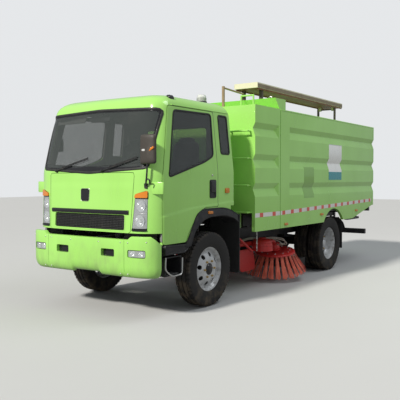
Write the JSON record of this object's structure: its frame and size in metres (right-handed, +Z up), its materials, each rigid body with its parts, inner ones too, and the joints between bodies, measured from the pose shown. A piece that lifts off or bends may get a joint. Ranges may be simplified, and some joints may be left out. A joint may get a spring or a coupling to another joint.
{
  "type": "street_sweeper_truck",
  "caption": "Lime green street sweeper truck with a tilting cab, a tipping dust hopper with a lifting tail door, swinging disc brushes and a hinged roof board",
  "frame": {"origin": "on the ground, on the centre plane, halfway along the overall length", "axes": "X to the truck's own left, Y to the rear, Z up"},
  "size_m": [2.385, 7.2, 3.225],
  "materials": {
    "body_green": "gloss",
    "black_plastic": "matte",
    "chassis_dark": "satin",
    "cast_grey": "rough",
    "tyre": "matte",
    "rim_silver": "satin",
    "cab_glass": "clear",
    "lamp_lens": "clear",
    "lamp_red": "gloss",
    "rubber_black": "matte",
    "seat_cloth": "woven",
    "dash_grey": "matte",
    "bare_steel": "brushed",
    "tan_paint": "satin",
    "cream_paint": "satin",
    "chrome_rod": "polished",
    "brush_red": "satin",
    "tank_metal": "satin"
  },
  "bodies": {
    "chassis": {"frame_rails": "chassis_dark", "front_axle": "chassis_dark", "rear_axle": "chassis_dark", "drive_shaft": "chassis_dark", "leaf_springs": "chassis_dark", "engine_block": "cast_grey", "blower_block": "cast_grey", "bumper": "body_green", "fog_lamps": "lamp_lens", "low_steps": "black_plastic", "splash_guards": "rubber_black", "fan_housing": "body_green", "ladder": "body_green", "roof_post": "tan_paint", "suction_nozzle": "chassis_dark", "fuel_tank": "tank_metal", "underrun_bar": "chassis_dark", "chains": "bare_steel"},
    "steer_left": {"knuckle_left": "chassis_dark"},
    "steer_right": {"knuckle_right": "chassis_dark"},
    "wheel_front_left": {"tyre_front_left": "tyre", "rim_front_left": "rim_silver"},
    "wheel_front_right": {"tyre_front_right": "tyre", "rim_front_right": "rim_silver"},
    "wheels_rear_left": {"tyres_rear_left": "tyre", "rims_rear_left": "rim_silver"},
    "wheels_rear_right": {"tyres_rear_right": "tyre", "rims_rear_right": "rim_silver"},
    "cab": {"cab_shell": "body_green", "cab_floor": "chassis_dark", "cab_glass": "cab_glass", "headlamps": "lamp_lens", "wheel_flares": "black_plastic", "cab_steps": "black_plastic", "seats": "seat_cloth", "dashboard": "dash_grey", "mirror_left": "black_plastic"},
    "nose_panel": {"front_panel": "body_green", "grille": "black_plastic"},
    "door_left": {"door_left": "body_green", "door_glass_left": "cab_glass"},
    "door_right": {"door_right": "body_green", "door_glass_right": "cab_glass", "mirror_right": "black_plastic"},
    "hopper": {"hopper_shell": "body_green", "roof_hood": "body_green", "hopper_deck": "chassis_dark", "board_base": "tan_paint", "rear_lamps": "lamp_red"},
    "tail_door": {"rear_door": "body_green"},
    "board": {"roof_board": "cream_paint"},
    "barrel": {"ram_barrel": "chassis_dark"},
    "ram": {"ram_rod": "chrome_rod"},
    "arm_left": {"brush_arm_left": "brush_red"},
    "arm_right": {"brush_arm_right": "brush_red"},
    "disc_left": {"brush_left": "brush_red"},
    "disc_right": {"brush_right": "brush_red"}
  },
  "joints": [
    {"name": "steer_left", "type": "hinge", "parent": "chassis", "child": "steer_left", "pos_m": [0.74, -2.36, 0.487], "axis": [0, 0, 1], "range_deg": [-35, 35]},
    {"name": "steer_right", "type": "hinge", "parent": "chassis", "child": "steer_right", "pos_m": [-0.74, -2.36, 0.487], "axis": [0, 0, 1], "range_deg": [-35, 35]},
    {"name": "spin_front_left", "type": "hinge", "parent": "steer_left", "child": "wheel_front_left", "pos_m": [0.9325, -2.36, 0.487], "axis": [1, 0, 0], "continuous": true},
    {"name": "spin_front_right", "type": "hinge", "parent": "steer_right", "child": "wheel_front_right", "pos_m": [-0.9325, -2.36, 0.487], "axis": [1, 0, 0], "continuous": true},
    {"name": "spin_rear_left", "type": "hinge", "parent": "chassis", "child": "wheels_rear_left", "pos_m": [0.78, 1.54, 0.487], "axis": [1, 0, 0], "continuous": true},
    {"name": "spin_rear_right", "type": "hinge", "parent": "chassis", "child": "wheels_rear_right", "pos_m": [-0.78, 1.54, 0.487], "axis": [1, 0, 0], "continuous": true},
    {"name": "cab_tilt", "type": "hinge", "parent": "chassis", "child": "cab", "pos_m": [0, -3.5, 0.8], "axis": [1, 0, 0], "range_deg": [0, 45]},
    {"name": "nose_panel_lift", "type": "hinge", "parent": "cab", "child": "nose_panel", "pos_m": [0, -3.52, 1.74], "axis": [-1, 0, 0], "range_deg": [0, 60]},
    {"name": "door_left_swing", "type": "hinge", "parent": "cab", "child": "door_left", "pos_m": [1.035, -3.35, 1.7], "axis": [0, 0, -1], "range_deg": [0, 65]},
    {"name": "door_right_swing", "type": "hinge", "parent": "cab", "child": "door_right", "pos_m": [-1.035, -3.35, 1.7], "axis": [0, 0, 1], "range_deg": [0, 65]},
    {"name": "hopper_tip", "type": "hinge", "parent": "chassis", "child": "hopper", "pos_m": [0, 3.15, 0.95], "axis": [-1, 0, 0], "range_deg": [0, 45]},
    {"name": "tail_door_lift", "type": "hinge", "parent": "hopper", "child": "tail_door", "pos_m": [0, 3.505, 2.764], "axis": [1, 0, 0], "range_deg": [0, 75]},
    {"name": "board_lift", "type": "hinge", "parent": "hopper", "child": "board", "pos_m": [0.33, 2.94, 3.085], "axis": [-1, 0, 0], "range_deg": [0, 75]},
    {"name": "ram_swing", "type": "hinge", "parent": "chassis", "child": "barrel", "pos_m": [0, 0.5, 0.77], "axis": [1, 0, 0], "range_deg": [0, 21]},
    {"name": "ram_stroke", "type": "slide", "parent": "barrel", "child": "ram", "axis": [0, 0.9884, 0.1516], "range_m": [0, 0.63]},
    {"name": "arm_left_swing", "type": "hinge", "parent": "chassis", "child": "arm_left", "pos_m": [0.54, -0.9, 0.64], "axis": [0, 0, -1], "range_deg": [0, 30]},
    {"name": "arm_right_swing", "type": "hinge", "parent": "chassis", "child": "arm_right", "pos_m": [-0.54, -0.9, 0.64], "axis": [0, 0, 1], "range_deg": [0, 30]},
    {"name": "brush_left_spin", "type": "hinge", "parent": "arm_left", "child": "disc_left", "pos_m": [0.7, 0.04, 0.48], "axis": [0.0713, -0.1584, 0.9848], "continuous": true},
    {"name": "brush_right_spin", "type": "hinge", "parent": "arm_right", "child": "disc_right", "pos_m": [-0.7, 0.04, 0.48], "axis": [-0.0713, -0.1584, 0.9848], "continuous": true}
  ],
  "couplings": [
    {"joint": "steer_right", "follows": "steer_left", "ratio": 1},
    {"joint": "ram_swing", "follows": "hopper_tip", "ratio": 0.4459},
    {"joint": "ram_stroke", "follows": "hopper_tip", "m_per_rad": 0.7876}
  ]
}
